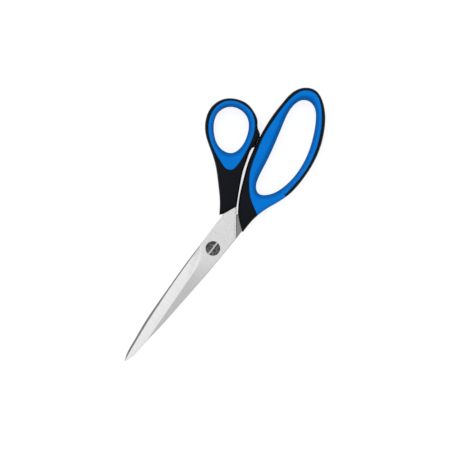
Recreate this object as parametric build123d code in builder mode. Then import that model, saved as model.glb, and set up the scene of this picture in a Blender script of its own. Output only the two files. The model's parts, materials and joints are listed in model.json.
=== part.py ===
from build123d import *
import os

os.makedirs("parts", exist_ok=True)

# Office scissors, closed and lying flat, in millimetres. +Z up, -Y towards the blade tips.
# The front half is the blade that carries the thumb bow. The rear half carries the finger bow.

# Overall sizes, all measured from the pivot axis
blade_length = 91.0  # pivot to tip
handle_length = 119.0  # pivot to the end of the finger bow
thumb_reach = 56.0  # pivot sideways to the far side of the thumb bow
finger_reach = 17.9  # pivot sideways to the far side of the finger bow
blade_width = 15.4  # across either blade at the pivot

# Blades
blade_thickness = 2.0
blade_gap = 0.2  # daylight between the two inner faces
edge_thickness = 0.4  # steel left standing at the cutting edge
bevel_width = 6.4  # ridge to cutting edge
anchor_hole = 2.4  # diameter of the holes in the tangs that the plastic flows through

# Handles
core_thickness = 11.0
shank_thickness = 8.0  # where the steel comes out
core_round = 2.0
grip_proud = 0.25  # how far the soft grip stands above the hard core
grip_round = 2.5  # round inside the finger holes
lug_thickness = 9.0
stop_clearance = 0.12  # left between the stop lug and the finger bow

# Pivot
shoulder_diameter = 5.0
thread_diameter = 4.0
head_diameter = 9.2
head_height = 1.5
head_round = 0.45
slot_width = 1.0
slot_depth = 0.8
washer_diameter = 11.0
washer_recess = 0.15  # depth that the washer sinks into each blade
nut_ledge = 0.5  # the nut's barrel stands out this far past the screw's shoulder, under the washer
nut_lip = 1.4  # and the flange this far past the barrel
nut_flange_height = 1.3
nut_round = 0.4
running_clearance = 0.05  # radial and axial, between pieces that turn on each other

# The outlines below are drawn from the pivot axis for these four sizes, and stretch to the ones above.
drawn_blade_length = 91.0
drawn_handle_length = 119.0
drawn_width = 73.9
drawn_blade_width = 15.4

overall_width = thumb_reach + finger_reach
pivot_height = core_thickness / 2 + grip_proud
pivot = Plane(
    origin=((thumb_reach - finger_reach) / 2, (blade_length - handle_length) / 2, pivot_height)
)


def handle_points(*points):
    """Points of a handle outline, stretched to the real handle."""
    across = overall_width / drawn_width
    along = handle_length / drawn_handle_length
    return [(x * across, y * along) for x, y in points]


def blade_points(*points):
    """Points of a blade outline, stretched to the real blade below the pivot and to the handle above it."""
    across = blade_width / drawn_blade_width
    below = blade_length / drawn_blade_length
    above = handle_length / drawn_handle_length
    return [(x * across, y * (above if y > 0 else below)) for x, y in points]


# ---- Outlines of the handles, right side up from the blade end, anticlockwise ----

# Both shanks are thinnest at the first height and reach their full thickness at the second.
taper_start, taper_end = [y for x, y in handle_points((0, 19), (0, 36))]

finger_outer = handle_points(
    (8.6, 19.6), (8.7, 28), (9.5, 34), (11.1, 40), (14.2, 48), (16.8, 56), (17.9, 68), (17.1, 80),
    (14.9, 90), (10.8, 100), (4.3, 110), (-2.3, 116), (-10.5, 119), (-17.2, 116), (-21.0, 110),
    (-22.2, 100), (-22.2, 90), (-20.9, 78), (-18.6, 66), (-15.8, 56), (-11.4, 46), (-6.4, 36),
    (-1.8, 28),
)  # fmt: skip
finger_end_middle = handle_points((3.1, 23.5))[0]
finger_hole = handle_points(
    (1.3, 45.3), (6.2, 48), (9.9, 54), (12.0, 62), (12.3, 74), (9.9, 86), (4.9, 98), (0, 106),
    (-4.2, 110), (-8.7, 111.2), (-13.1, 109.3), (-15.6, 103.5), (-15.5, 97.5), (-13.2, 88),
    (-9.9, 76), (-7.1, 64), (-4.6, 52), (-2.2, 47.2),
)  # fmt: skip
# The soft grip's edge on the finger bow starts and ends outside the bow's own outline.
finger_joint_line = handle_points(
    (11.5, 32.8), (8.8, 34.2), (3, 37.2), (-2, 40.6), (-6, 44.9), (-10, 50.3), (-13.5, 57.7),
    (-16, 66), (-18.2, 74), (-19.7, 86), (-20.2, 98), (-19.2, 108), (-16.5, 114), (-9.5, 117.2),
    (-2.7, 114), (4.6, 106), (9.3, 98), (13.9, 86), (15.9, 74), (15.7, 62), (15.1, 55),
)  # fmt: skip
finger_joint_end = handle_points((19.5, 54.2))[0]

thumb_outer = handle_points(
    (-4.5, 30.2), (-7.8, 36), (-12.1, 44), (-15.8, 52), (-17.8, 58), (-19.6, 64), (-21.6, 71),
    (-24.3, 77.3), (-27.5, 81), (-32.3, 84), (-39.5, 85.6), (-46.2, 84), (-53.0, 78.8), (-56.0, 70),
    (-54.2, 62), (-48.1, 54), (-39.1, 48), (-30.6, 42), (-22.3, 34), (-14.8, 26), (-9.9, 19.6),
)  # fmt: skip
thumb_end_middle = handle_points((-7.2, 24.7))[0]
thumb_hole = handle_points(
    (-39.3, 80), (-46, 78), (-49.4, 74), (-50.4, 68.5), (-49, 64), (-44.5, 58), (-39, 54),
    (-32.8, 52.9), (-27.6, 55.3), (-25.6, 61), (-26.5, 68), (-29.2, 74), (-33.4, 78.4),
)  # fmt: skip
thumb_joint_line = handle_points(
    (-39.5, 83.8), (-46.5, 82), (-51.6, 77.6), (-53.7, 71), (-52.7, 64.4), (-48.2, 57), (-42.3, 52),
    (-34.5, 48), (-28.6, 45.8), (-24.2, 44.9), (-21.2, 46.6), (-20.2, 50.5), (-20.7, 58),
    (-22.1, 66), (-24.7, 74), (-28.5, 79.5), (-33.2, 82.7),
)  # fmt: skip
stop_lug = handle_points(
    (-19.9, 65.6), (-17.6, 68), (-17.6, 72), (-20.5, 74.6), (-21.7, 76.1), (-24.6, 77.4), (-23, 71),
)  # fmt: skip

# ---- Outlines of the blades ----

# The front blade cuts along its left side and its spine is on the right. The rear blade is the other way.
front_spine = blade_points(
    (0.1, -91), (1.7, -87), (2.8, -78), (4.4, -60), (5.7, -40), (6.8, -20), (7.5, 0), (7.7, 14),
)  # fmt: skip
front_edge = blade_points(
    (-7.8, 0), (-7, -14), (-6, -34), (-4.8, -50), (-3.3, -66), (-1.8, -78), (-0.7, -86), (0.1, -91),
)  # fmt: skip
front_left = blade_points((-8, 20), (-7.8, 0))
front_tang = handle_points(
    (-4, 29.3), (-6.2, 30.6), (-15.5, 42.5), (-18.9, 42), (-19.5, 38.5), (-9.4, 24.8), (-8, 22.4),
)  # fmt: skip
front_anchors = handle_points((-10.7, 31.5), (-15.4, 37.7))

rear_spine = blade_points(
    (-7.8, 0), (-7.6, -18), (-6.9, -34), (-6.1, -50), (-4.8, -66), (-3.1, -78), (-1.5, -87), (0.1, -91),
)  # fmt: skip
rear_edge = blade_points(
    (0.1, -91), (0.9, -86), (1.5, -78), (2.4, -66), (3.7, -50), (5.1, -34), (6.4, -14), (7.4, 0),
)  # fmt: skip
rear_right = blade_points((7.4, 0), (7.8, 14), (7.8, 21))
rear_shank = blade_points((-0.9, 27.3), (-3.6, 22), (-6.5, 16), (-7.8, 9), (-7.8, 0))
rear_tang = handle_points((5.8, 24.5), (5.6, 34.5), (3.6, 36.2), (0.6, 36.2), (-1.4, 34.5))
rear_anchors = handle_points((2.4, 28), (2.1, 33))

# The bevel's ridge runs down the front blade from the plunge to the tip; the rear one is its mirror image.
ridge_top = blade_points((-0.7, -12))[0]
ridge_bottom = blade_points((3.1, -72))[0]
plunge = blade_points((-9, -3.6), (-3.6, -8.4), (-0.8, -15))

blade_top = blade_gap / 2 + blade_thickness
washer_half = blade_gap / 2 + washer_recess
under_head = blade_top + running_clearance
nut_barrel_diameter = shoulder_diameter + 2 * nut_ledge
nut_flange_diameter = nut_barrel_diameter + 2 * nut_lip


def handle_blank(outer, end_middle, proud):
    """A handle without its finger hole, tapered in thickness towards the steel and rounded all round."""
    with BuildPart() as blank:
        with BuildSketch(pivot.offset(-core_thickness / 2 - proud)):
            with BuildLine():
                Spline(*outer)
                ThreePointArc(outer[-1], end_middle, outer[0])
            make_face()
        extrude(amount=core_thickness + 2 * proud)
        with BuildSketch(Plane(origin=pivot.origin, x_dir=(0, 1, 0), z_dir=(1, 0, 0))):
            half_shank = shank_thickness / 2 + proud
            half_full = core_thickness / 2 + proud
            with BuildLine():
                Polyline(
                    (taper_start, -half_shank),
                    (taper_end, -half_full),
                    (handle_length + core_round, -half_full),
                    (handle_length + core_round, half_full),
                    (taper_end, half_full),
                    (taper_start, half_shank),
                    close=True,
                )
            make_face()
        extrude(amount=overall_width, both=True, mode=Mode.INTERSECT)
        walls = blank.faces().filter_by(lambda face: abs(face.normal_at().Z) < 0.5)
        fillet(walls.edges().filter_by(Axis.Z, reverse=True), radius=core_round)
    return blank.part


def joint_block(joint_line, joint_end=None):
    """Everything inside the line where the soft grip meets the hard core."""
    with BuildPart() as block:
        with BuildSketch(pivot):
            with BuildLine():
                Spline(*joint_line, periodic=joint_end is None)
                if joint_end:
                    Polyline(joint_line[-1], joint_end, joint_line[0])
            make_face()
        extrude(amount=core_thickness, both=True)
    return block.part


def hole_rims(grip):
    """The two edges of the finger hole, on the grip's front and rear faces."""
    flats = grip.faces().filter_by(Axis.Z)
    return [edge for face in flats for wire in face.inner_wires() for edge in wire.edges()]


def bevel_cut():
    """Steel ground away from the outer face of the front blade, from the plunge to past the tip."""
    along = Vector(*ridge_bottom) - Vector(*ridge_top)
    depth_per_width = (blade_thickness - edge_thickness) / bevel_width
    section = Plane(
        origin=pivot.offset(blade_top).from_local_coords(Vector(*ridge_top) - along * 0.2),
        x_dir=(along.Y, -along.X, 0),
        z_dir=along,
    )
    with BuildPart() as cut:
        with BuildSketch(section):
            with BuildLine():
                Polyline(
                    (-1, -depth_per_width),
                    (2 * bevel_width, -depth_per_width),
                    (2 * bevel_width, 2 * bevel_width * depth_per_width),
                    close=True,
                )
            make_face()
        extrude(amount=1.5 * blade_length)
        with BuildSketch(pivot):
            with BuildLine():
                ThreePointArc(*plunge)
                Polyline(
                    plunge[-1],
                    (blade_width, plunge[-1][1]),
                    (blade_width, blade_width),
                    (plunge[0][0], blade_width),
                    plunge[0],
                )
            make_face()
        extrude(amount=2 * blade_top, mode=Mode.SUBTRACT)
    return cut.part


# ---- Blades ----

with BuildPart() as front_blade:
    with BuildSketch(pivot.offset(blade_gap / 2)):
        with BuildLine():
            Polyline(front_tang[-1], *front_left)
            Spline(*front_edge)
            Spline(*front_spine)
            Polyline(front_spine[-1], *front_tang)
        make_face()
        Circle(shoulder_diameter / 2 + running_clearance, mode=Mode.SUBTRACT)
        with Locations(*front_anchors):
            Circle(anchor_hole / 2, mode=Mode.SUBTRACT)
    extrude(amount=blade_thickness)
    with BuildSketch(pivot):
        Circle(washer_diameter / 2 + running_clearance)
    extrude(amount=washer_half, mode=Mode.SUBTRACT)
    add(bevel_cut(), mode=Mode.SUBTRACT)

with BuildPart() as rear_blade:
    with BuildSketch(pivot.offset(-blade_top)):
        with BuildLine():
            Polyline(rear_right[-1], *rear_tang, rear_shank[0])
            Spline(*rear_shank)
            Spline(*rear_spine)
            Spline(*rear_edge)
            Polyline(*rear_right)
        make_face()
        Circle(nut_barrel_diameter / 2, mode=Mode.SUBTRACT)
        with Locations(*rear_anchors):
            Circle(anchor_hole / 2, mode=Mode.SUBTRACT)
    extrude(amount=blade_thickness)
    with BuildSketch(pivot):
        Circle(washer_diameter / 2)
    extrude(amount=-washer_half, mode=Mode.SUBTRACT)
    add(bevel_cut().rotate(Axis(pivot.origin, (0, 1, 0)), 180), mode=Mode.SUBTRACT)

# ---- Pivot ----

with BuildPart() as pivot_screw:
    with BuildSketch(pivot.offset(under_head)):
        Circle(head_diameter / 2)
    extrude(amount=head_height)
    fillet(pivot_screw.edges().group_by(Axis.Z)[-1], radius=head_round)
    with BuildSketch(pivot.offset(under_head + head_height)):
        Rectangle(slot_width, head_diameter)
    extrude(amount=-slot_depth, mode=Mode.SUBTRACT)
    with BuildSketch(pivot.offset(under_head)):
        Circle(shoulder_diameter / 2)
    extrude(amount=-(under_head + washer_half - running_clearance))
    with BuildSketch(pivot.offset(under_head)):
        Circle(thread_diameter / 2)
    extrude(amount=-(under_head + blade_top + nut_flange_height))

with BuildPart() as pivot_nut:
    with BuildSketch(pivot.offset(-washer_half)):
        Circle(nut_barrel_diameter / 2)
    extrude(amount=-(blade_top - washer_half))
    with BuildSketch(pivot.offset(-blade_top)):
        Circle(nut_flange_diameter / 2)
    extrude(amount=-nut_flange_height)
    fillet(pivot_nut.edges().group_by(Axis.Z)[0], radius=nut_round)
    with Locations(pivot):
        Hole(thread_diameter / 2 + running_clearance, depth=core_thickness)

with BuildPart() as pivot_washer:
    with BuildSketch(pivot.offset(-washer_half)):
        Circle(washer_diameter / 2)
        Circle(shoulder_diameter / 2 + running_clearance, mode=Mode.SUBTRACT)
    extrude(amount=2 * washer_half - running_clearance)

# ---- Finger handle ----

with BuildPart() as finger_handle:
    add(handle_blank(finger_outer, finger_end_middle, 0))
    add(joint_block(finger_joint_line, finger_joint_end), mode=Mode.SUBTRACT)
    add(rear_blade.part, mode=Mode.SUBTRACT)

with BuildPart() as finger_grip:
    add(handle_blank(finger_outer, finger_end_middle, grip_proud))
    add(joint_block(finger_joint_line, finger_joint_end), mode=Mode.INTERSECT)
    with BuildSketch(pivot):
        with BuildLine():
            Spline(*finger_hole, periodic=True)
        make_face()
    extrude(amount=core_thickness, both=True, mode=Mode.SUBTRACT)
    fillet(hole_rims(finger_grip), radius=grip_round)

# ---- Thumb handle ----

with BuildPart() as thumb_handle:
    add(handle_blank(thumb_outer, thumb_end_middle, 0))
    with BuildSketch(pivot):
        with BuildLine():
            Polyline(*stop_lug, close=True)
        make_face()
    extrude(amount=lug_thickness / 2, both=True)
    # The lug's face follows the side of the finger bow that it rests against.
    bow_side = [(x - stop_clearance, y) for x, y in finger_outer]
    with BuildSketch(pivot):
        with BuildLine():
            Spline(*bow_side)
            Line(bow_side[-1], bow_side[0])
        make_face()
    extrude(amount=core_thickness, both=True, mode=Mode.SUBTRACT)
    add(joint_block(thumb_joint_line), mode=Mode.SUBTRACT)
    add(front_blade.part, mode=Mode.SUBTRACT)

with BuildPart() as thumb_grip:
    add(handle_blank(thumb_outer, thumb_end_middle, grip_proud))
    add(joint_block(thumb_joint_line), mode=Mode.INTERSECT)
    with BuildSketch(pivot):
        with BuildLine():
            Spline(*thumb_hole, periodic=True)
        make_face()
    extrude(amount=core_thickness, both=True, mode=Mode.SUBTRACT)
    fillet(hole_rims(thumb_grip), radius=grip_round)

for label, piece in (
    ("front_blade", front_blade),
    ("rear_blade", rear_blade),
    ("pivot_screw", pivot_screw),
    ("pivot_nut", pivot_nut),
    ("pivot_washer", pivot_washer),
    ("finger_handle", finger_handle),
    ("finger_grip", finger_grip),
    ("thumb_handle", thumb_handle),
    ("thumb_grip", thumb_grip),
):
    piece.part.label = label
    export_step(piece.part, f"parts/{label}.step")
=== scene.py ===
import json
import math

import bmesh
import bpy
import numpy as np
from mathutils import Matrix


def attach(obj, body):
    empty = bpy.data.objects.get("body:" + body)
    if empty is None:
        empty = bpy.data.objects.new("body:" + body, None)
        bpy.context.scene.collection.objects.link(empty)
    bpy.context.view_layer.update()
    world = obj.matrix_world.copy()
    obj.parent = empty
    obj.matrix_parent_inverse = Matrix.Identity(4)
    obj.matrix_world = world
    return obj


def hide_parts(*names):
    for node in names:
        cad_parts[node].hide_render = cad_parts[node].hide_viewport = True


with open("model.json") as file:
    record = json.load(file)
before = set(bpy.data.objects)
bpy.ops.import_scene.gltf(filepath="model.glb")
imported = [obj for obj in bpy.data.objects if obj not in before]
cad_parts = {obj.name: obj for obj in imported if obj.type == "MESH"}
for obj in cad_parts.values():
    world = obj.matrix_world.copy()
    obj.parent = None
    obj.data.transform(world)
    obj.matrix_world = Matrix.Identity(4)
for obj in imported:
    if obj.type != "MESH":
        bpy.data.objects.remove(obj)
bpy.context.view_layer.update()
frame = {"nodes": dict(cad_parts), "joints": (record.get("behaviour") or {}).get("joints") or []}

# Outlines are in millimetres from the pivot axis, +Y towards the handles, as seen from the front.
mm = 0.001
pivotJoint = next(j for j in frame["joints"] if j["name"] == "blade_pivot")
pivot = np.array(pivotJoint["pos_m"])

fineness = {
    "perSpan": 40,  # samples of a spline between two of its points
    "step": 0.25,  # spacing along a finished spline
    "wallRows": 6,  # rows up the side of a moulding
    "mergeWithin": 2e-6,  # metres between two corners that become one
    "tiny": 1e-12,  # keeps a repeated point from dividing by zero
}


# A cubic spline through the points, its parameter the running chord length. Between two points it is
# their weighted mean plus the bending terms that the second derivatives at both ends give.
def splineThrough(points, closed=False):
    p = np.array(points, float)
    if closed:
        p = np.vstack([p, p[:1]])
    chord = np.linalg.norm(np.diff(p, axis=0), axis=1)
    slope = np.diff(p, axis=0) / chord[:, None]
    spans = len(chord)
    if closed:
        before = np.roll(chord, 1)
        matrix = np.diag(2 * (before + chord))
        rows = np.arange(spans)
        matrix[rows, rows - 1] += before
        matrix[rows, (rows + 1) % spans] += chord
        bend = np.linalg.solve(matrix, 6 * (slope - np.roll(slope, 1, axis=0)))
        bend = np.vstack([bend, bend[:1]])
    else:
        matrix = np.diag(2 * (chord[:-1] + chord[1:]))
        matrix += np.diag(chord[1:-1], 1) + np.diag(chord[1:-1], -1)
        inner = np.linalg.solve(matrix, 6 * np.diff(slope, axis=0))
        bend = np.vstack([[0, 0], inner, [0, 0]])
    knots = np.concatenate([[0], np.cumsum(chord)])
    t = np.linspace(0, knots[-1], fineness["perSpan"] * spans + 1)
    i = np.clip(np.searchsorted(knots, t, side="right") - 1, 0, spans - 1)
    h = chord[i][:, None]
    a = (knots[i + 1] - t)[:, None] / h
    b = 1 - a
    curve = a * p[i] + b * p[i + 1] + ((a**3 - a) * bend[i] + (b**3 - b) * bend[i + 1]) * h**2 / 6
    steps = round(runningLength(curve)[-1] / fineness["step"])
    return evenly(curve, steps + 1)


def runningLength(line):
    return np.concatenate([[0], np.cumsum(np.linalg.norm(np.diff(line, axis=0), axis=1))])


# Points at equal distances along a line.
def evenly(line, count):
    along = runningLength(line)
    places = np.linspace(0, along[-1], count)
    return np.stack([np.interp(places, along, line[:, k]) for k in range(line.shape[1])], axis=1)


# Points at equal distances all the way round a closed line.
def evenlyRound(line, count):
    return evenly(np.vstack([line, line[:1]]), count + 1)[:-1]


# Weights that rise and fall as a raised cosine and add up to one.
def movingMean(count):
    kernel = np.hanning(count + 2)[1:-1]
    return kernel / kernel.sum()


# A closed line from several runs, with its corners eased by a moving mean over a few points.
def closedOutline(runs, count, ease=5):
    line = evenlyRound(np.vstack([run[:-1] for run in runs]), count)
    padded = np.vstack([line[-ease:], line, line[:ease]])
    eased = np.stack([np.convolve(padded[:, k], movingMean(ease), "same") for k in range(2)], axis=1)
    return eased[ease:-ease]


# For each point of one line, the point of another that faces it: the nearest one, taken in running
# order, with its drift from even progress smoothed over a window so that no two facing lines cross.
# On an open line, fixed pairs of facing points lead in from the start before the nearest take over.
def facingPoints(line, other, window, pairs=None):
    def nearestTo(points):
        return np.linalg.norm(points[:, None] - other[None], axis=2).argmin(axis=1)

    place = nearestTo(line).astype(float)
    steps = np.arange(len(line))
    if pairs is None:
        size = len(other)
        trend = steps * size / len(line)
        turn = (np.diff(place) + size / 2) % size - size / 2
        drift = place[0] + np.concatenate([[0], np.cumsum(turn)]) - trend
        drift = np.convolve(np.pad(drift, window, mode="wrap"), movingMean(window), "same")
        place = (trend + drift[window:-window]) % size
        target = np.vstack([other, other[:1]])
    else:
        size = len(other) - 1
        pairs = np.array(pairs, float)
        at = np.linalg.norm(pairs[:, 0, None] - line[None], axis=2).argmin(axis=1)
        lead = steps <= at[-1]
        place[lead] = np.interp(steps[lead], at, nearestTo(pairs[:, 1]))
        place[-1] = size
        trend = steps * size / (len(line) - 1)
        drift = np.pad(np.maximum.accumulate(place) - trend, window, mode="reflect", reflect_type="odd")
        place = trend + np.convolve(drift, movingMean(window), "same")[window:-window]
        target = other
    return np.stack([np.interp(place, np.arange(len(target)), target[:, k]) for k in range(2)], axis=1)


# The distance of every grid point from the nearest stretch of a line: the nearest of every sixth point
# first, then the nearest of the stretches around it.
def distanceTo(line, grid, closed=True, stride=6):
    start = line if closed else line[:-1]
    end = np.roll(line, -1, axis=0) if closed else line[1:]
    flat = grid.reshape(-1, 2)
    coarse = start[::stride]
    square = (flat**2).sum(axis=1)[:, None] - 2 * flat @ coarse.T + (coarse**2).sum(axis=1)[None]
    around = square.argmin(axis=1)[:, None] * stride + np.arange(-stride, stride + 1)[None]
    around = around % len(start) if closed else np.clip(around, 0, len(start) - 1)
    run = end[around] - start[around]
    offset = flat[:, None] - start[around]
    along = (offset * run).sum(axis=2) / np.maximum((run**2).sum(axis=2), fineness["tiny"])
    away = np.linalg.norm(offset - np.clip(along, 0, 1)[..., None] * run, axis=2)
    return away.min(axis=1).reshape(grid.shape[:-1])


# How far a rounded edge lies below the full height, a quarter of an ellipse `wide` across and `deep` down.
def edgeDrop(distance, wide, deep):
    inside = np.clip(distance / wide, 0, 1)
    return deep * (1 - np.sqrt(1 - (1 - inside) ** 2))


# From 0 to 1 with a level start and end: three times the square less twice the cube.
def smoothStep(x):
    x = np.clip(x, 0, 1)
    return x * x * (3 - 2 * x)


# Fractions from 0 to 1 that crowd towards both ends, so that rounded edges get enough points: each half
# is one less a power of the way left to its end.
def crowded(count, power):
    s = np.linspace(-1, 1, count)
    return 0.5 + 0.5 * np.sign(s) * (1 - (1 - np.abs(s)) ** power)


# Millimetres from the pivot, turned into metres in the frame.
def placeInFrame(points):
    return points * mm + pivot


# A mesh from a grid of points, each row a closed section. The rows close on each other where asked, and
# otherwise a flat cap covers each open end.
def gridMesh(name, grid, wrapRows, sharpAngle=32):
    rows, columns = grid.shape[:2]
    index = np.arange(rows * columns).reshape(rows, columns)
    below = np.roll(index, -1, axis=0) if wrapRows else index[1:]
    here = index if wrapRows else index[:-1]
    quads = np.stack([here, np.roll(here, -1, axis=1), np.roll(below, -1, axis=1), below], axis=-1)
    faces = quads.reshape(-1, 4).tolist()
    if not wrapRows:
        faces += [index[0][::-1].tolist(), index[-1].tolist()]
    mesh = bpy.data.meshes.new(name)
    mesh.from_pydata(placeInFrame(grid.reshape(-1, 3)).tolist(), [], faces)
    work = bmesh.new()
    work.from_mesh(mesh)
    bmesh.ops.remove_doubles(work, verts=work.verts, dist=fineness["mergeWithin"])
    bmesh.ops.recalc_face_normals(work, faces=work.faces)
    work.to_mesh(mesh)
    work.free()
    mesh.shade_smooth()
    mesh.set_sharp_from_angle(angle=math.radians(sharpAngle))
    piece = bpy.data.objects.new(name, mesh)
    bpy.context.scene.collection.objects.link(piece)
    return piece


# The closed section of a flat moulding at every place along its rim: over the front from the outer line
# to the inner one, down the inner wall, back over the rear, and up the outer wall.
def mouldedSections(outer, inner, fractions, heightAt):
    plan = outer[:, None] * (1 - fractions[None, :, None]) + inner[:, None] * fractions[None, :, None]
    height = heightAt(plan)
    front = np.concatenate([plan, height[..., None]], axis=2)
    rear = np.concatenate([plan, -height[..., None]], axis=2)[:, ::-1]
    drop = np.linspace(1, -1, fineness["wallRows"] + 2)[1:-1]

    def wall(line, top, down):
        z = top[:, None] * down[None]
        spread = np.repeat(line[:, None], len(down), axis=1)
        return np.concatenate([spread, z[..., None]], axis=2)

    innerWall = wall(inner, height[:, -1], drop)
    outerWall = wall(outer, height[:, 0], -drop)
    return np.concatenate([front, innerWall, rear, outerWall], axis=1)


handle = {
    "halfShank": 4.0,  # half the thickness at the steel
    "halfBow": 5.5,  # half the thickness at the bows
    "taper": (19.0, 36.0),  # from where to where it grows
    "edgeWide": 1.9,  # the round along the outer edge
    "edgeDeepShare": 0.6,  # its depth, as a share of half the thickness
    "coreCrown": 0.45,  # how far the middle of the shank rises above its sides
    "crownReach": 3.5,
    "seamRound": 0.3,
    "gripProud": 0.25,
    "gripShoulder": 0.7,
    "funnelWide": 3.7,
    "funnelShare": 0.66,  # the most that the funnel takes of the way from hole to rim
    "funnelDeep": 3.4,
    "funnelCurve": 1.7,
    "flankBlend": 1.2,  # how far from the flank its broad edge ends
    # Points across a face, and the power by which they crowd to its edges.
    "coreAcross": (34, 2.4),
    "gripAcross": (28, 1.9),
    "gripWindow": 60,
}

finger = {
    "outer": [
        (8.6, 19.6), (8.7, 28), (9.5, 34), (11.1, 40), (14.2, 48), (16.8, 56), (17.9, 68), (17.1, 80),
        (14.9, 90), (10.8, 100), (4.3, 110), (-2.3, 116), (-10.5, 119), (-17.2, 116), (-21.0, 110),
        (-22.2, 100), (-22.2, 90), (-20.9, 78), (-18.6, 66), (-15.8, 56), (-11.6, 46), (-6.9, 36),
        (-1.9, 28),
    ],
    "end": [(-1.9, 28), (3.1, 23.5), (8.6, 19.6)],
    "hole": [
        (1.3, 45.3), (6.2, 48), (9.9, 54), (12.0, 62), (12.3, 74), (9.9, 86), (4.9, 98), (0, 106),
        (-4.2, 110), (-8.7, 111.2), (-13.1, 109.3), (-15.6, 103.5), (-15.5, 97.5), (-13.2, 88),
        (-9.9, 76), (-7.1, 64), (-4.6, 52), (-2.2, 47.2),
    ],
    "seam": [
        (9.3, 33.9), (8.6, 34.3), (3, 37.2), (-2, 40.6), (-6, 44.9), (-10, 50.3), (-13.5, 57.7),
        (-16, 66), (-18.2, 74), (-19.7, 86), (-20.2, 98), (-19.2, 108), (-16.5, 114), (-9.5, 117.2),
        (-2.7, 114), (4.6, 106), (9.3, 98), (13.9, 86), (15.9, 74), (15.7, 62), (15.1, 55),
    ],
    "seamEnd": (16.4, 54.7),
    # Points of the outline round the shank, each with the point of the seam that it faces.
    "facing": [
        ((9.3, 33.9), (9.3, 33.9)), ((8.6, 19.6), (1.5, 38.0)), ((3.1, 23.5), (-2, 40.6)),
        ((-1.9, 28), (-5.0, 43.6)), ((-6.9, 36), (-9.2, 49)), ((-11.6, 46), (-13, 56.5)),
    ],
    "outlinePoints": 1200,
    "facingWindow": 30,
    "bandStart": 2,  # the first point of the open band
    "rimPoints": 1000,
    "rimEase": 3,
}

thumb = {
    "outer": [
        (-4.5, 30.2), (-7.8, 36), (-12.1, 44), (-15.8, 52), (-17.8, 58), (-19.6, 64), (-19.7, 65.6),
    ],
    # The lug's face follows the other bow at a small clearance between these heights.
    "lugSpan": (66.6, 74.2),
    "lugClearance": 0.02,
    "bow": [
        (-21.4, 75.7), (-23.2, 76.7), (-24.6, 77.6), (-27.5, 81), (-32.3, 84), (-39.5, 85.6),
        (-46.2, 84), (-53.0, 78.8), (-56.0, 70), (-54.2, 62), (-48.1, 54), (-39.1, 48), (-30.6, 42),
        (-22.3, 34), (-14.8, 26), (-9.9, 19.2),
    ],
    "end": [(-9.9, 19.2), (-8, 21.8), (-6.5, 25.3), (-4.5, 30.2)],
    "hole": [
        (-39.3, 80), (-46, 78), (-49.4, 74), (-50.4, 68.5), (-49, 64), (-44.5, 58), (-39, 54),
        (-32.8, 52.9), (-27.6, 55.3), (-25.6, 61), (-26.5, 68), (-29.2, 74), (-33.4, 78.4),
    ],
    "seam": [
        (-39.5, 83.8), (-46.5, 82), (-51.6, 77.6), (-53.7, 71), (-52.7, 64.4), (-48.2, 57), (-42.3, 52),
        (-34.5, 48), (-28.6, 45.8), (-24.2, 44.9), (-21.2, 46.6), (-20.2, 50.5), (-20.7, 58),
        (-22.1, 66), (-24.7, 74), (-28.5, 79.5), (-33.2, 82.7),
    ],
    "outlinePoints": 1000,
    "facingWindow": 90,
    "rimPoints": 900,
}


# Half the thickness of a handle at a place along it: thin at the steel, full at the bow.
def halfThickness(y):
    low, high = handle["taper"]
    growth = handle["halfBow"] - handle["halfShank"]
    return handle["halfShank"] + growth * smoothStep((y - low) / (high - low))


# The hard core's surface: full height, less the round along its outer edge and the small one along the
# seam, plus a slow rise towards the middle of the shank.
def coreHeight(outline, seam, closedSeam):
    def heightAt(plan):
        toEdge = distanceTo(outline, plan)
        toSeam = distanceTo(seam, plan, closedSeam)
        rise = 1 - np.exp(-np.maximum(toEdge - handle["edgeWide"], 0) / handle["crownReach"])
        half = halfThickness(plan[..., 1])
        top = half + handle["coreCrown"] * (rise - 0.5)
        top -= edgeDrop(toEdge, handle["edgeWide"], handle["edgeDeepShare"] * half)
        return top - edgeDrop(toSeam, handle["seamRound"], handle["seamRound"])

    return heightAt


# The soft grip's surface: a little proud of the core, less the shoulder along its rim and the funnel that
# leads into the finger hole, whose depth grows with a power of the way across it. Where the rim is the
# outside of the bow, flank is 1 and the shoulder becomes the same broad edge as the core's.
def gripHeight(rim, hole, flank):
    def heightAt(plan):
        toRim = distanceTo(rim, plan)
        toHole = distanceTo(hole, plan)
        half = halfThickness(plan[..., 1])
        shoulder = handle["gripShoulder"]
        shoulderWide = shoulder + (handle["edgeWide"] - shoulder) * flank[:, None]
        shoulderDeep = shoulder + (handle["edgeDeepShare"] * half - shoulder) * flank[:, None]
        funnel = np.minimum(handle["funnelWide"], handle["funnelShare"] * (toRim + toHole))
        into = np.clip(1 - toHole / funnel, 0, 1) ** handle["funnelCurve"]
        top = half + handle["gripProud"] - edgeDrop(toRim, shoulderWide, shoulderDeep)
        return top - handle["funnelDeep"] * into

    return heightAt


# A grip from its rim to the finger hole, in straight lines across between facing points.
def gripMesh(name, rim, hole, flank):
    holeFacing = facingPoints(rim, evenlyRound(hole, len(rim)), handle["gripWindow"])
    across = crowded(*handle["gripAcross"])
    sections = mouldedSections(rim, holeFacing, across, gripHeight(rim, hole, flank))
    return gridMesh(name, sections, wrapRows=True)


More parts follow.
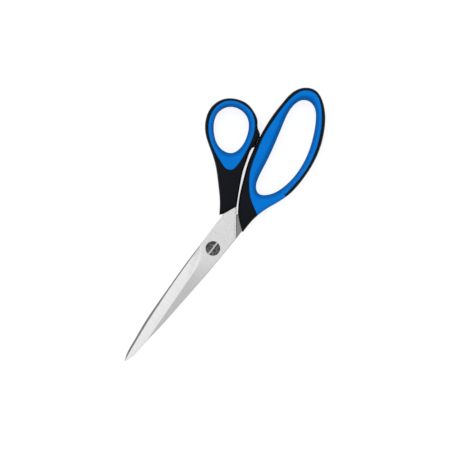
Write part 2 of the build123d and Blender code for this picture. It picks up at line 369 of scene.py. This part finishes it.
# The finger's core is an open band. From the seam's start the outline runs up the bare flank of the grip
# to the seam's end, and the band has the rest of it, the other way round. It starts a few points on,
# because its two lines start at one point.
def fingerBow():
    outer = splineThrough(finger["outer"])
    end = splineThrough(finger["end"])
    seam = splineThrough(finger["seam"])
    hole = splineThrough(finger["hole"], closed=True)[:-1][::-1]
    outline = closedOutline([outer, end], finger["outlinePoints"])
    seamStart = np.linalg.norm(outline - seam[0], axis=1).argmin()
    outline = np.roll(outline, -seamStart, axis=0)
    seamEnd = np.linalg.norm(outline - finger["seamEnd"], axis=1).argmin()
    flank = outline[: seamEnd + 1]
    bandOuter = np.vstack([outline[:1], outline[seamEnd:][::-1]])
    bandInner = facingPoints(bandOuter, seam, finger["facingWindow"], finger["facing"])
    first = finger["bandStart"]
    across = crowded(*handle["coreAcross"])
    height = coreHeight(outline, seam, closedSeam=False)
    sections = mouldedSections(bandOuter[first:], bandInner[first:], across, height)
    core = gridMesh("fingerCore", sections, wrapRows=False)
    flankBack = np.vstack([flank[::-1], flank[:1]])
    rim = closedOutline([seam, flankBack], finger["rimPoints"], finger["rimEase"])
    toFlank = distanceTo(flank, rim[:, None], closed=False)[:, 0]
    onFlank = smoothStep(1 - toFlank / handle["flankBlend"])
    return core, gripMesh("fingerSoftGrip", rim, hole, onFlank)


# The thumb's core is a closed band round the seam, with the stop lug on the side of the other bow. The
# lug's face is a stretch of that bow's outline, moved aside by the clearance.
def thumbBow():
    hole = splineThrough(thumb["hole"], closed=True)[:-1]
    seam = splineThrough(thumb["seam"], closed=True)[:-1]
    other = splineThrough(finger["outer"])[::-1]
    low, high = thumb["lugSpan"]
    beside = (other[:, 1] > low) & (other[:, 1] < high) & (other[:, 0] < 0)
    face = other[beside] - [thumb["lugClearance"], 0]
    outer, bow, end = (splineThrough(thumb[name]) for name in ("outer", "bow", "end"))
    toLug = np.vstack([outer[-1], face[0]])
    fromLug = np.vstack([face[-1], bow[0]])
    outline = closedOutline([outer, toLug, face, fromLug, bow, end], thumb["outlinePoints"])
    rim = evenlyRound(seam, thumb["rimPoints"])
    facing = facingPoints(outline, rim, thumb["facingWindow"])
    across = crowded(*handle["coreAcross"])
    sections = mouldedSections(outline, facing, across, coreHeight(outline, seam, closedSeam=True))
    core = gridMesh("thumbCore", sections, wrapRows=True)
    return core, gripMesh("thumbSoftGrip", rim, hole, np.zeros(len(rim)))


blade = {
    "halfGap": 0.1,
    "tipAt": -91.0,
    "thickness": 2.0,
    "tipThickness": 1.6,
    "edgeThickness": 0.35,
    "leastThickness": 0.12,
    "hollow": 0.07,
    "ridge": ((-0.7, -12), (3.1, -72)),
    "plunge": ((-9, -2.6), (-7, -3.7), (-4.6, -6.4), (-2.5, -9.8), (-1.2, -13.4), (-0.7, -17)),
    "plungeRound": 0.4,  # softens the plunge line
    "runOut": 13.0,  # from the plunge line to the full bevel
    "spineSlope": 0.09,
    "fallFrom": (-2.0, -36.0),  # where the fall to the spine starts and is full
    "innerHollow": 0.06,
    "innerFrom": (-8.0, -16.0),  # where the inner hollow starts and is full
    "edgeRound": 0.25,
    "edgeRoundShare": 0.35,  # of the width, where the blade is narrow
    "edgeRoundDeep": 0.8,
    "chamferWide": 0.85,
    "chamferDeep": 0.32,
    "chamferCurve": 1.1,
    "shankFrom": (13.5, 15.5),  # where the chamfer starts and is full
    # Rows across the blade: close to the tip, then from, to and spacing of each run. The last run goes to
    # the end of the tang.
    "tipRows": (0, 0.03, 0.08, 0.15, 0.3),
    "rowRuns": ((-90.5, -17, 0.4), (-17, 1, 0.2)),
    "tangRows": (1, 0.35),
    "leastRow": 0.02,
    # The column on the ridge line keeps these shares of the width from the cutting edge and the spine.
    "ridgeWithin": (0.3, 0.12),
    "bevelAcross": (24, 1.6),
    "backAcross": (18, 2.0),
    # The least values keep the tip, where the width is nothing, from dividing by zero.
    "leastWidth": 0.001,
    "leastBevel": 0.05,
    "leastRound": 0.0001,
    "sharpAngle": 22,
    "innerShadedFinish": 0.09,  # faces no further than this above the gap have the inner finish, whose dark tone is painted shade
}

frontOutline = {
    "cutting": [
        (0.1, -91), (-0.7, -86), (-1.8, -78), (-3.3, -66), (-4.8, -50), (-6, -34), (-7, -14), (-7.8, 0),
        (-8, 20),
    ],
    "cuttingTang": [(-8, 20), (-8, 22.4), (-9.4, 24.8), (-19.5, 38.5), (-18.9, 42)],
    "spine": [
        (0.1, -91), (1.7, -87), (2.8, -78), (4.4, -60), (5.7, -40), (6.8, -20), (7.5, 0), (7.7, 14),
    ],
    "spineTang": [(7.7, 14), (-4, 29.3), (-6.2, 30.6), (-15.2, 42)],
}

# The rear blade is drawn as seen from behind, where its cutting edge is on the left too.
rearOutline = {
    "cutting": [
        (-0.1, -91), (-0.9, -86), (-1.5, -78), (-2.4, -66), (-3.7, -50), (-5.1, -34), (-6.4, -14), (-7.4, 0),
        (-7.8, 14),
    ],
    "cuttingTang": [(-7.8, 14), (-7.8, 21), (-5.8, 24.5), (-5.6, 34.5), (-3.6, 36.2)],
    "spine": [
        (-0.1, -91), (1.5, -87), (3.1, -78), (4.8, -66), (6.1, -50), (6.9, -34), (7.6, -18), (7.8, 0),
        (7.8, 9),
    ],
    "spineTang": [(7.8, 9), (6.5, 16), (3.6, 22), (0.9, 27.3), (1.4, 34.5), (-0.6, 36.2)],
}


# The heights of the rows: every run of them, and one at each corner of the tang.
def bladeRows(outline):
    tangs = outline["cuttingTang"], outline["spineTang"]
    end = min(tang[-1][1] for tang in tangs)
    corners = [point[1] for tang in tangs for point in tang if point[1] < end]
    tangStart, tangStep = blade["tangRows"]
    runs = [np.arange(*run) for run in (*blade["rowRuns"], (tangStart, end, tangStep))]
    y = np.concatenate([blade["tipAt"] + np.array(blade["tipRows"]), *runs, corners, [end]])
    y = np.unique(y.round(3))
    return y[np.concatenate([[True], np.diff(y) > blade["leastRow"]])]


# Where an edge lies at each height: a spline along the blade, then straight lines along the tang.
def edgeAt(outline, edge, y):
    tang = np.array(outline[edge + "Tang"][1:], float)
    line = np.vstack([splineThrough(outline[edge]), tang])
    return np.interp(y, line[:, 1], line[:, 0])


# How far the ground outer face lies below the full thickness, and how far the bevel has faded in. The
# bevel falls from the ridge to the cutting edge in a straight line with a slight hollow, and grows past
# the plunge line as one less the square of the way left. Behind the ridge the face falls a little
# towards the spine.
def groundAway(x, rowY, left, ridge, full):
    share = np.clip((ridge[:, None] - x) / np.maximum(ridge - left, blade["leastBevel"])[:, None], 0, 1)
    plunge = np.array(blade["plunge"])
    plungeY = np.interp(x, plunge[:, 0], plunge[:, 1])
    past = np.hypot(np.maximum(plungeY - rowY, 0), blade["plungeRound"]) - blade["plungeRound"]
    fade = 1 - (1 - np.clip(past / blade["runOut"], 0, 1)) ** 2
    bevel = (full - blade["edgeThickness"]) * share + blade["hollow"] * np.sin(math.pi * share)
    high, low = blade["fallFrom"]
    falling = smoothStep((high - rowY) / (high - low))
    return bevel * fade + blade["spineSlope"] * np.maximum(x - ridge[:, None], 0) * falling, fade


# A ground blade in rows across its length. Each row runs over the outer face from cutting edge to spine
# and back along the inner face, which is hollowed by half a sine wave. Both edges are slightly rounded
# where no bevel reaches them, and the shank has a chamfer along its spine.
def bladeMesh(name, outline, side):
    y = bladeRows(outline)
    left = edgeAt(outline, "cutting", y)
    right = edgeAt(outline, "spine", y)
    width = right - left
    (topX, topY), (lowX, lowY) = blade["ridge"]
    ridge = topX + (y - topY) * (lowX - topX) / (lowY - topY)
    nearCutting, nearSpine = blade["ridgeWithin"]
    column = np.clip(ridge, left + nearCutting * width, right - nearSpine * width)
    onBevel = left[:, None] + (column - left)[:, None] * crowded(*blade["bevelAcross"])
    onBack = column[:, None] + (right - column)[:, None] * crowded(*blade["backAcross"])[1:]
    x = np.concatenate([onBevel, onBack], axis=1)
    rowY = np.repeat(y[:, None], x.shape[1], axis=1)
    thinning = (blade["thickness"] - blade["tipThickness"]) / blade["tipAt"]
    full = blade["thickness"] - thinning * np.minimum(rowY, 0)
    drop, fade = groundAway(x, rowY, left, ridge, full)

    def fromEdge(line, away):
        return away / np.sqrt(1 + np.gradient(line, y)[:, None] ** 2)

    toSpine = fromEdge(right, right[:, None] - x)
    toCutting = fromEdge(left, x - left[:, None])
    widest = blade["edgeRoundShare"] * width[:, None] + blade["leastRound"]
    roundWide = np.minimum(blade["edgeRound"], widest)
    roundDeep = blade["edgeRoundDeep"] * roundWide
    drop += edgeDrop(toSpine, roundWide, roundDeep)
    drop += edgeDrop(toCutting, roundWide, roundDeep) * (1 - fade)
    low, high = blade["shankFrom"]
    onShank = smoothStep((rowY - low) / (high - low))
    chamfer = np.clip(1 - toSpine / blade["chamferWide"], 0, 1) ** blade["chamferCurve"]
    drop += blade["chamferDeep"] * chamfer * onShank
    across = (x - left[:, None]) / np.maximum(width, blade["leastWidth"])[:, None]
    high, low = blade["innerFrom"]
    hollow = blade["innerHollow"] * np.sin(math.pi * across)
    inner = blade["halfGap"] + hollow * smoothStep((high - rowY) / (high - low))
    top = np.maximum(blade["halfGap"] + full - drop, inner + blade["leastThickness"])
    front = np.stack([x, rowY, top], axis=2)
    rear = np.stack([x, rowY, inner], axis=2)[:, ::-1]
    grid = np.concatenate([front, rear], axis=1) * np.array([side, 1, side])
    piece = gridMesh(name, grid, wrapRows=False, sharpAngle=blade["sharpAngle"])
    # Faces on the inner side take the second material, whose dark tone is painted shade.
    height = np.zeros(len(piece.data.polygons) * 3)
    piece.data.polygons.foreach_get("center", height)
    height = (height.reshape(-1, 3)[:, 2] - pivot[2]) / mm * side
    isInner = height < blade["halfGap"] + blade["innerShadedFinish"]
    piece.data.polygons.foreach_set("material_index", isInner.astype(int))
    return piece


def newMaterial(name, metallic):
    material = bpy.data.materials.new(name)
    material.use_nodes = True
    nodes = material.node_tree.nodes
    shader = nodes["Principled BSDF"]
    shader.inputs["Metallic"].default_value = metallic
    return material, nodes, material.node_tree.links, shader


# Object coordinates, squeezed along each axis, into a noise texture.
def noiseOn(nodes, links, squeeze, scale, detail, roughness=0.55):
    place = nodes.new("ShaderNodeTexCoord")
    mapping = nodes.new("ShaderNodeMapping")
    mapping.inputs["Scale"].default_value = squeeze
    texture = nodes.new("ShaderNodeTexNoise")
    texture.inputs["Scale"].default_value = scale
    texture.inputs["Detail"].default_value = detail
    texture.inputs["Roughness"].default_value = roughness
    links.new(place.outputs["Object"], mapping.inputs["Vector"])
    links.new(mapping.outputs["Vector"], texture.inputs["Vector"])
    return texture.outputs["Fac"]


# A colour ramp through the stops, each a position and a colour.
def rampOn(nodes, links, value, stops):
    ramp = nodes.new("ShaderNodeValToRGB")
    first, *middle, last = stops
    ramp.color_ramp.elements[0].position = first[0]
    ramp.color_ramp.elements[0].color = (*first[1], 1)
    ramp.color_ramp.elements[1].position = last[0]
    ramp.color_ramp.elements[1].color = (*last[1], 1)
    for position, colour in middle:
        ramp.color_ramp.elements.new(position).color = (*colour, 1)
    links.new(value, ramp.inputs["Fac"])
    return ramp.outputs["Color"]


# A ramp from one colour to another over the middle of a noise, where most of its values are.
def spreadOn(nodes, links, noise, low, high):
    return rampOn(nodes, links, noise, [(0.3, low), (0.7, high)])


def bumpOn(nodes, links, shader, value, strength, distance):
    bump = nodes.new("ShaderNodeBump")
    bump.inputs["Strength"].default_value = strength
    bump.inputs["Distance"].default_value = distance
    links.new(value, bump.inputs["Height"])
    links.new(bump.outputs["Normal"], shader.inputs["Normal"])


# Two colours mixed. A Mix node takes them at its inputs 6 and 7, and gives the result at its output 2.
def mixOn(nodes, links, first, second, factor, blend="MIX"):
    mix = nodes.new("ShaderNodeMix")
    mix.data_type = "RGBA"
    mix.blend_type = blend
    for value, socket in ((factor, mix.inputs["Factor"]), (first, mix.inputs[6]), (second, mix.inputs[7])):
        if isinstance(value, bpy.types.NodeSocket):
            links.new(value, socket)
        else:
            socket.default_value = value
    return mix.outputs[2]


# How far a point lies from the middle plane of the scissors, from 0 at `low` to 1 at `high`.
def depthOn(nodes, links, low, high):
    place = nodes.new("ShaderNodeTexCoord")
    split = nodes.new("ShaderNodeSeparateXYZ")
    links.new(place.outputs["Object"], split.inputs["Vector"])
    away = nodes.new("ShaderNodeMath")
    away.operation = "SUBTRACT"
    away.inputs[1].default_value = pivot[2]
    links.new(split.outputs["Z"], away.inputs[0])
    size = nodes.new("ShaderNodeMath")
    size.operation = "ABSOLUTE"
    links.new(away.outputs["Value"], size.inputs[0])
    level = nodes.new("ShaderNodeMapRange")
    level.inputs["From Min"].default_value = low * mm
    level.inputs["From Max"].default_value = high * mm
    links.new(size.outputs["Value"], level.inputs["Value"])
    return level.outputs["Result"]


def grey(value):
    return (value, value, value)


# In each finish a noise is its squeeze along X, Y and Z, its scale and its detail, a pair for tone or
# roughness is the range that its noise spreads over, and a bump is its strength and its height in metres.
groundFinish = {
    "streaks": ((1, 60, 1), 90, 4),
    "tone": (0.43, 0.5),
    "fine": ((1, 40, 1), 260, 2),
    "roughness": (0.22, 0.33),
    "bump": (0.25, 0.00001),
}

# The inner faces are finished finer than the outer ones. Their dark tone is painted shade and a painted
# reflection of a darker room.
lappedShadedFinish = {
    "streaks": ((1, 30, 1), 120, 4),
    "tone": (0.14, 0.19),
    "fine": ((1, 24, 1), 300, 2),
    "roughness": (0.2, 0.3),
    "bump": (0.2, 0.00001),
}


# Steel ground across its length: long soft streaks in its tone, finer ones in its gloss and relief.
def bladeSteel(name, finish):
    material, nodes, links, shader = newMaterial(name, metallic=1)
    streaks = noiseOn(nodes, links, *finish["streaks"])
    links.new(spreadOn(nodes, links, streaks, *map(grey, finish["tone"])), shader.inputs["Base Color"])
    fine = noiseOn(nodes, links, *finish["fine"])
    links.new(spreadOn(nodes, links, fine, *map(grey, finish["roughness"])), shader.inputs["Roughness"])
    bumpOn(nodes, links, shader, fine, *finish["bump"])
    return material


screwFinish = {
    "mottle": ((1, 1, 1), 900, 4, 0.7),
    "tones": [(0.4, grey(0.025)), (0.56, grey(0.08)), (0.66, grey(0.26))],
    "slotTone": (0.5, 0.5, 0.49, 1),
    "slotFloor": (2.9, 3.1),
    "roughness": 0.45,
    "bump": (0.5, 0.00006),
}


# Dark pitted face, with the floor of the driver slot left bright. The two are told apart by height.
def pittedSteel():
    material, nodes, links, shader = newMaterial("pittedSteel", metallic=1)
    shader.inputs["Roughness"].default_value = screwFinish["roughness"]
    mottle = noiseOn(nodes, links, *screwFinish["mottle"])
    dark = rampOn(nodes, links, mottle, screwFinish["tones"])
    above = depthOn(nodes, links, *screwFinish["slotFloor"])
    links.new(mixOn(nodes, links, screwFinish["slotTone"], dark, above), shader.inputs["Base Color"])
    bumpOn(nodes, links, shader, mottle, *screwFinish["bump"])
    return material


nutFinish = {
    "cloud": ((1, 1, 1), 500, 3),
    "tone": (0.5, 0.66),
    "roughness": (0.22, 0.36),
    "bump": (0.2, 0.00002),
}


# The nut, with a faint cloud in its tone and gloss.
def turnedSteel():
    material, nodes, links, shader = newMaterial("turnedSteel", metallic=1)
    cloud = noiseOn(nodes, links, *nutFinish["cloud"])
    links.new(spreadOn(nodes, links, cloud, *map(grey, nutFinish["tone"])), shader.inputs["Base Color"])
    links.new(spreadOn(nodes, links, cloud, *map(grey, nutFinish["roughness"])), shader.inputs["Roughness"])
    bumpOn(nodes, links, shader, cloud, *nutFinish["bump"])
    return material


coreFinish = {
    "face": (0.0063, 0.0073, 0.01),
    # Painted shade: the edge colour darkens the rounded edges, and blends into the face colour between these
    # heights.
    "edge": (0.0008, 0.001, 0.0014),
    "shadeEdgeToFace": (2.2, 3.9),
    "specular": 0.04,
    "tint": (0.82, 0.9, 1.0, 1),
    "grain": ((1, 1, 1), 2600, 2),
    "roughness": (0.3, 0.42),
    "bump": (0.2, 0.00003),
}


# Satin black. The rounded edges, below the faces, are darkened with painted shade.
def hardPlastic():
    material, nodes, links, shader = newMaterial("blackPlastic", metallic=0)
    shader.inputs["Specular IOR Level"].default_value = coreFinish["specular"]
    shader.inputs["Specular Tint"].default_value = coreFinish["tint"]
    above = depthOn(nodes, links, *coreFinish["shadeEdgeToFace"])
    tones = [(0.0, coreFinish["edge"]), (1.0, coreFinish["face"])]
    links.new(rampOn(nodes, links, above, tones), shader.inputs["Base Color"])
    grain = noiseOn(nodes, links, *coreFinish["grain"])
    links.new(spreadOn(nodes, links, grain, *map(grey, coreFinish["roughness"])), shader.inputs["Roughness"])
    bumpOn(nodes, links, shader, grain, *coreFinish["bump"])
    return material


gripFinish = {
    "cloud": ((1, 1, 1), 90, 3),
    "tones": ((0.0, 0.163, 0.61), (0.0, 0.186, 0.68)),
    # Painted shade: the base colour darkens from the faces down the walls and edges, between these heights.
    "shadeWallToFace": (2.0, 5.7),
    "paintedShades": [(0.0, grey(0.5)), (0.6, grey(0.68)), (0.85, grey(0.83)), (1.0, grey(1.0))],
    "specular": 0.04,
    "grain": ((1, 1, 1), 3200, 2),
    "roughness": (0.42, 0.58),
    "bump": (0.25, 0.00003),
}


# Matt blue. The walls of the holes and the edges, below the faces, are darkened with painted shade.
def softRubber():
    material, nodes, links, shader = newMaterial("blueSoftGrip", metallic=0)
    shader.inputs["Specular IOR Level"].default_value = gripFinish["specular"]
    cloud = noiseOn(nodes, links, *gripFinish["cloud"])
    bright = spreadOn(nodes, links, cloud, *gripFinish["tones"])
    above = depthOn(nodes, links, *gripFinish["shadeWallToFace"])
    shade = rampOn(nodes, links, above, gripFinish["paintedShades"])
    links.new(mixOn(nodes, links, bright, shade, 1, "MULTIPLY"), shader.inputs["Base Color"])
    grain = noiseOn(nodes, links, *gripFinish["grain"])
    links.new(spreadOn(nodes, links, grain, *map(grey, gripFinish["roughness"])), shader.inputs["Roughness"])
    bumpOn(nodes, links, shader, grain, *gripFinish["bump"])
    return material


washerFinish = {
    "colour": (0.8, 0.79, 0.75, 1),
    "cloud": ((1, 1, 1), 700, 2),
    "roughness": (0.35, 0.5),
}


# The washer, one colour with an uneven gloss.
def nylon():
    material, nodes, links, shader = newMaterial("whiteNylon", metallic=0)
    shader.inputs["Base Color"].default_value = washerFinish["colour"]
    cloud = noiseOn(nodes, links, *washerFinish["cloud"])
    dull = spreadOn(nodes, links, cloud, *map(grey, washerFinish["roughness"]))
    links.new(dull, shader.inputs["Roughness"])
    return material


# Gives pieces one material, in place of any they have.
def finishIn(material, *pieces):
    for piece in pieces:
        piece.data.materials.clear()
        piece.data.materials.append(material)


fingerCore, fingerSoftGrip = fingerBow()
print("finger bow made")
thumbCore, thumbSoftGrip = thumbBow()
print("thumb bow made")
frontSteel = bladeMesh("frontBladeSteel", frontOutline, 1)
rearSteel = bladeMesh("rearBladeSteel", rearOutline, -1)
print("blades made")

for piece, body, node, slotName in (
    (fingerCore, "finger_half", "finger_handle", "black_plastic"),
    (fingerSoftGrip, "finger_half", "finger_grip", "blue_rubber"),
    (rearSteel, "finger_half", "rear_blade", "blade_steel"),
    (thumbCore, "thumb_half", "thumb_handle", "black_plastic"),
    (thumbSoftGrip, "thumb_half", "thumb_grip", "blue_rubber"),
    (frontSteel, "thumb_half", "front_blade", "blade_steel"),
):
    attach(piece, body)
    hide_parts(node)

finishIn(hardPlastic(), fingerCore, thumbCore)
finishIn(softRubber(), fingerSoftGrip, thumbSoftGrip)
outerSteel = bladeSteel("groundSteel", groundFinish)
# The inner steel's dark tone is painted shade.
innerShadedSteel = bladeSteel("lappedShadedSteel", lappedShadedFinish)
for steel in (frontSteel, rearSteel):
    steel.data.materials.append(outerSteel)
    steel.data.materials.append(innerShadedSteel)
finishIn(pittedSteel(), frame["nodes"]["pivot_screw"])
finishIn(turnedSteel(), frame["nodes"]["pivot_nut"])
finishIn(nylon(), frame["nodes"]["pivot_washer"])
print("finishes done")


studio = {
    "floorHub": 0.02,
    "floorBend": 1.6,
    "floorReach": 4.0,
    "floorRise": 1.5,
    "floorBelow": 0.0002,
    "floorSpokes": 96,
    "flatRings": 8,
    "risingRings": 25,
    "floorTone": 0.3,
    "floorRoughness": 0.8,
    "floorSpecular": 0.1,
    "floorGlow": 0.8,
    "skyStrength": 0.33,
    # Each softbox: tilt from straight up and bearing in degrees, distance, diameter, brightness.
    "softboxes": [
        (0, 0, 3.2, 5.2, 0.69),
        (24, 180, 3.0, 3.0, 0.86),
        (58, 150, 1.4, 0.7, 2.0),
        (42, 37, 1.4, 0.7, 1.6),
    ],
    "cameraHeight": 2.4,
    "cameraAim": (-3.09, 16.42),
    "cameraTurn": 38.1,
    "viewWidth": 285.5,
    "sensorWidth": 36,
    "clipEnd": 20,
}


# A round floor whose rim rises as a backdrop: flat to the bend, then up with the cube of the way past it.
def floorSheet():
    spokes = studio["floorSpokes"]
    bend, reach = studio["floorBend"], studio["floorReach"]
    around = np.linspace(0, 2 * math.pi, spokes, endpoint=False)
    flat = np.linspace(studio["floorHub"], bend, studio["flatRings"])
    rising = np.linspace(bend, reach, studio["risingRings"])[1:]
    out = np.concatenate([flat, rising])[:, None]
    rise = studio["floorRise"] * np.maximum((out - bend) / (reach - bend), 0) ** 3 - studio["floorBelow"]
    height = np.repeat(rise, spokes, axis=1)
    rings = np.stack([out * np.cos(around), out * np.sin(around), height], axis=-1)
    index = np.arange(rings.shape[0] * spokes).reshape(-1, spokes)
    after = np.roll(index, -1, axis=1)
    quads = np.stack([index[:-1], index[1:], after[1:], after[:-1]], axis=-1).reshape(-1, 4).tolist()
    mesh = bpy.data.meshes.new("floor")
    mesh.from_pydata(rings.reshape(-1, 3).tolist(), [], quads + [index[0].tolist()])
    mesh.shade_smooth()
    piece = bpy.data.objects.new("floor", mesh)
    bpy.context.scene.collection.objects.link(piece)
    material, nodes, links, shader = newMaterial("paleFloor", metallic=0)
    shader.inputs["Base Color"].default_value = (*grey(studio["floorTone"]), 1)
    shader.inputs["Roughness"].default_value = studio["floorRoughness"]
    shader.inputs["Specular IOR Level"].default_value = studio["floorSpecular"]
    shader.inputs["Emission Color"].default_value = (1, 1, 1, 1)
    shader.inputs["Emission Strength"].default_value = studio["floorGlow"]
    finishIn(material, piece)


# A disk of light that faces the origin. Its watts are pi times its area times its brightness.
def softbox(tilt, bearing, distance, size, brightness):
    tilt, bearing = math.radians(tilt), math.radians(bearing)
    light = bpy.data.lights.new("softbox", "AREA")
    light.shape = "DISK"
    light.size = size
    light.energy = brightness * math.pi * math.pi * size**2 / 4
    lamp = bpy.data.objects.new("softbox", light)
    bpy.context.scene.collection.objects.link(lamp)
    across = distance * math.sin(tilt)
    lamp.location = (across * math.cos(bearing), across * math.sin(bearing), distance * math.cos(tilt))
    lamp.rotation_euler = (-lamp.location).to_track_quat("-Z", "Y").to_euler()


# The camera looks straight down, and its lens makes the view as wide as asked at the pivot's height.
def cameraAbove():
    camera = bpy.data.cameras.new("camera")
    height = studio["cameraHeight"]
    camera.sensor_width = studio["sensorWidth"]
    camera.lens = camera.sensor_width * height / (studio["viewWidth"] * mm)
    camera.clip_end = studio["clipEnd"]
    eye = bpy.data.objects.new("camera", camera)
    bpy.context.scene.collection.objects.link(eye)
    aim = pivot + np.array([*studio["cameraAim"], 0]) * mm
    eye.location = (aim[0], aim[1], pivot[2] + height)
    eye.rotation_euler = (0, 0, math.radians(studio["cameraTurn"]))
    bpy.context.scene.camera = eye


floorSheet()
for each in studio["softboxes"]:
    softbox(*each)
world = bpy.data.worlds.new("studio")
world.use_nodes = True
sky = world.node_tree.nodes["Background"]
sky.inputs["Color"].default_value = (1, 1, 1, 1)
sky.inputs["Strength"].default_value = studio["skyStrength"]
bpy.context.scene.world = world
bpy.context.scene.view_settings.view_transform = "Standard"
cameraAbove()
print("studio ready")
